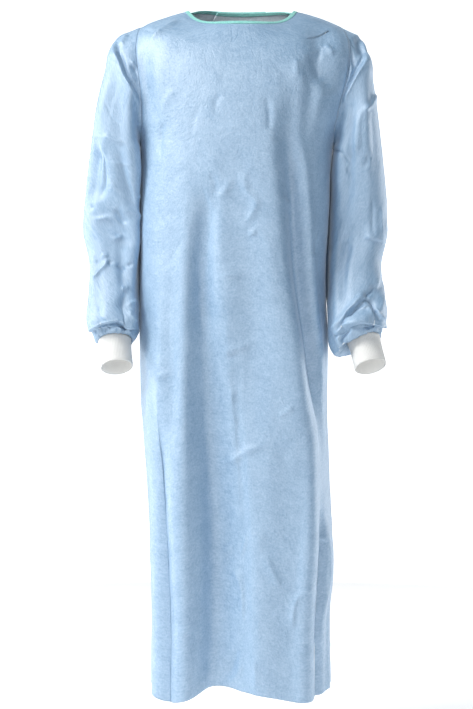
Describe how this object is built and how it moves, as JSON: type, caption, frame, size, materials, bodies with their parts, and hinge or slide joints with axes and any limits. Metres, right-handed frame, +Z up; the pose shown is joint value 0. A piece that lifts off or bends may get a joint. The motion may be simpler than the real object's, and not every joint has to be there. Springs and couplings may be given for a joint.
{
  "type": "surgical gown",
  "caption": "Long-sleeved nonwoven surgical gown, hollow and filled out as worn, with a bound boat neck, set-in sleeves gathered into knitted cuffs and a wrapped back.",
  "frame": {"origin": "midway between the two points where the neck edge meets the shoulder seams, where the wearer holds the gown up", "axes": "+Z up, the front faces -Y, +X towards the wearer's left"},
  "size_m": [0.5774, 0.2783, 1.3009],
  "materials": {
    "nonwoven_blue": "semi-satin nonwoven with a fine mottled surface",
    "knit_white": "matt ribbed knit",
    "binding_green": "matt folded tape",
    "fastener_white": "matt hook and loop"
  },
  "bodies": {
    "root": {"front_panel": "nonwoven_blue", "back_panel_left": "nonwoven_blue", "back_panel_right": "nonwoven_blue", "sleeve_left": "nonwoven_blue", "sleeve_right": "nonwoven_blue", "cuff_left": "knit_white", "cuff_right": "knit_white", "neck_binding": "binding_green", "neck_fastener": "fastener_white", "waist_tie_left": "nonwoven_blue", "waist_tie_right": "nonwoven_blue", "waist_knot": "nonwoven_blue", "tie_tail_left": "nonwoven_blue", "tie_tail_right": "nonwoven_blue"}
  },
  "joints": []
}
